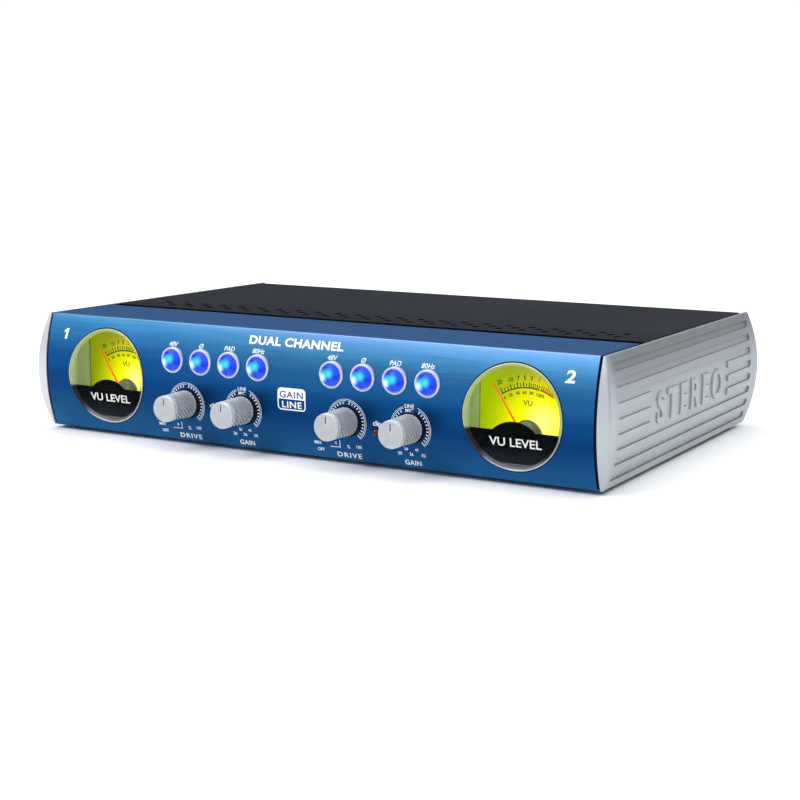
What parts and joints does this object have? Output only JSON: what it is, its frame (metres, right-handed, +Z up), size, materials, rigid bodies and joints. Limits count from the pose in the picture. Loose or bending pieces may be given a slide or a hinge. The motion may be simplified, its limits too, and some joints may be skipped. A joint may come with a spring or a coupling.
{
  "type": "microphone preamp",
  "caption": "Desktop tube microphone preamp: bowed blue front with round lit meters, knobs and lit push buttons, dark cover, grooved silver end caps.",
  "frame": {"origin": "centre of the footprint, on the surface that the feet stand on", "axes": "+X to the right as seen from the front, +Y from the front to the back, +Z up"},
  "size_m": [0.2392, 0.1674, 0.0455],
  "materials": {
    "blue_anodised": "horizontally brushed, blue anodised",
    "zinc_steel": "zinc plated",
    "charcoal_powder": "fine textured powder coat",
    "silver_casting": "satin silver paint over a casting",
    "black_rubber": "matt",
    "black_steel": "black oxide",
    "bright_chrome": "polished plating",
    "black_plastic": "fine moulded",
    "black_gloss": "gloss",
    "red_lens": "tinted clear",
    "green_board": "solder mask",
    "brass": "machined",
    "nickel_shell": "satin nickel",
    "clear_glass": "clear",
    "ceramic_white": "unglazed",
    "latch_plastic": "moulded",
    "meter_grey": "moulded",
    "meter_housing_green": "lit from behind",
    "meter_scale_yellow": "printed, lit from behind",
    "needle_red": "painted",
    "knob_silver": "satin silver",
    "blue_light": "translucent, lit"
  },
  "bodies": {
    "case": {"amplifier_chips": "black_plastic", "board_link": "black_plastic", "board_spacers": "brass", "button_bezels": "bright_chrome", "capacitors": "black_gloss", "case_screws": "black_steel", "chassis_tray": "zinc_steel", "clip_leds": "red_lens", "combo_jacks": "black_plastic", "front_board": "green_board", "front_panel": "blue_anodised", "front_spacers": "brass", "left_end_cap": "silver_casting", "line_jacks": "nickel_shell", "main_board": "green_board", "meter_housing_1": "meter_housing_green", "meter_housing_2": "meter_housing_green", "meter_lens_1": "clear_glass", "meter_lens_2": "clear_glass", "meter_mask_1": "black_gloss", "meter_mask_2": "black_gloss", "meter_movements": "meter_grey", "meter_rim_1": "bright_chrome", "meter_rim_2": "bright_chrome", "meter_scale_1": "meter_scale_yellow", "meter_scale_2": "meter_scale_yellow", "potentiometers": "zinc_steel", "power_inlet": "black_plastic", "power_switch_frame": "black_plastic", "rear_panel": "charcoal_powder", "rear_screws": "black_steel", "right_end_cap": "silver_casting", "rubber_feet": "black_rubber", "side_gaskets": "black_rubber", "switch_bodies": "black_plastic", "top_cover": "charcoal_powder", "tube_socket": "ceramic_white", "vacuum_tube": "clear_glass", "xlr_outputs": "nickel_shell"},
    "phantom_button_1": {"phantom_button_1": "blue_light"},
    "polarity_button_1": {"polarity_button_1": "blue_light"},
    "pad_button_1": {"pad_button_1": "blue_light"},
    "low_cut_button_1": {"low_cut_button_1": "blue_light"},
    "phantom_button_2": {"phantom_button_2": "blue_light"},
    "polarity_button_2": {"polarity_button_2": "blue_light"},
    "pad_button_2": {"pad_button_2": "blue_light"},
    "low_cut_button_2": {"low_cut_button_2": "blue_light"},
    "drive_knob_1": {"drive_knob_1": "knob_silver", "drive_shaft_1": "zinc_steel"},
    "gain_knob_1": {"gain_knob_1": "knob_silver", "gain_shaft_1": "zinc_steel"},
    "drive_knob_2": {"drive_knob_2": "knob_silver", "drive_shaft_2": "zinc_steel"},
    "gain_knob_2": {"gain_knob_2": "knob_silver", "gain_shaft_2": "zinc_steel"},
    "meter_needle_1": {"meter_needle_1": "needle_red"},
    "combo_latch_1": {"combo_latch_1": "latch_plastic"},
    "meter_needle_2": {"meter_needle_2": "needle_red"},
    "combo_latch_2": {"combo_latch_2": "latch_plastic"},
    "power_rocker": {"power_rocker": "black_gloss"}
  },
  "joints": [
    {"name": "phantom_press_1", "type": "slide", "parent": "case", "child": "phantom_button_1", "axis": [0, 1, 0], "range_m": [0, 0.002], "stiffness_N_per_m": 300},
    {"name": "polarity_press_1", "type": "slide", "parent": "case", "child": "polarity_button_1", "axis": [0, 1, 0], "range_m": [0, 0.002], "stiffness_N_per_m": 300},
    {"name": "pad_press_1", "type": "slide", "parent": "case", "child": "pad_button_1", "axis": [0, 1, 0], "range_m": [0, 0.002], "stiffness_N_per_m": 300},
    {"name": "low_cut_press_1", "type": "slide", "parent": "case", "child": "low_cut_button_1", "axis": [0, 1, 0], "range_m": [0, 0.002], "stiffness_N_per_m": 300},
    {"name": "phantom_press_2", "type": "slide", "parent": "case", "child": "phantom_button_2", "axis": [0, 1, 0], "range_m": [0, 0.002], "stiffness_N_per_m": 300},
    {"name": "polarity_press_2", "type": "slide", "parent": "case", "child": "polarity_button_2", "axis": [0, 1, 0], "range_m": [0, 0.002], "stiffness_N_per_m": 300},
    {"name": "pad_press_2", "type": "slide", "parent": "case", "child": "pad_button_2", "axis": [0, 1, 0], "range_m": [0, 0.002], "stiffness_N_per_m": 300},
    {"name": "low_cut_press_2", "type": "slide", "parent": "case", "child": "low_cut_button_2", "axis": [0, 1, 0], "range_m": [0, 0.002], "stiffness_N_per_m": 300},
    {"name": "drive_turn_1", "type": "hinge", "parent": "case", "child": "drive_knob_1", "pos_m": [-0.0473, -0.076, 0.0162], "axis": [0, 1, 0], "range_deg": [-150, 150]},
    {"name": "gain_turn_1", "type": "hinge", "parent": "case", "child": "gain_knob_1", "pos_m": [-0.0219, -0.076, 0.0162], "axis": [0, 1, 0], "range_deg": [-150, 150]},
    {"name": "drive_turn_2", "type": "hinge", "parent": "case", "child": "drive_knob_2", "pos_m": [0.0219, -0.076, 0.0162], "axis": [0, 1, 0], "range_deg": [-150, 150]},
    {"name": "gain_turn_2", "type": "hinge", "parent": "case", "child": "gain_knob_2", "pos_m": [0.0473, -0.076, 0.0162], "axis": [0, 1, 0], "range_deg": [-150, 150]},
    {"name": "needle_swing_1", "type": "hinge", "parent": "case", "child": "meter_needle_1", "pos_m": [-0.0854, -0.0593, 0.014], "axis": [0, 1, 0], "range_deg": [0, 67], "stiffness_Nm_per_rad": 0.0005},
    {"name": "latch_push_1", "type": "slide", "parent": "case", "child": "combo_latch_1", "axis": [0, -1, 0], "range_m": [0, 0.002], "stiffness_N_per_m": 300},
    {"name": "needle_swing_2", "type": "hinge", "parent": "case", "child": "meter_needle_2", "pos_m": [0.0854, -0.0593, 0.014], "axis": [0, 1, 0], "range_deg": [0, 67], "stiffness_Nm_per_rad": 0.0005},
    {"name": "latch_push_2", "type": "slide", "parent": "case", "child": "combo_latch_2", "axis": [0, -1, 0], "range_m": [0, 0.002], "stiffness_N_per_m": 300},
    {"name": "power_toggle", "type": "hinge", "parent": "case", "child": "power_rocker", "pos_m": [-0.096, 0.0738, 0.0225], "axis": [1, 0, 0], "range_deg": [0, 18]}
  ]
}
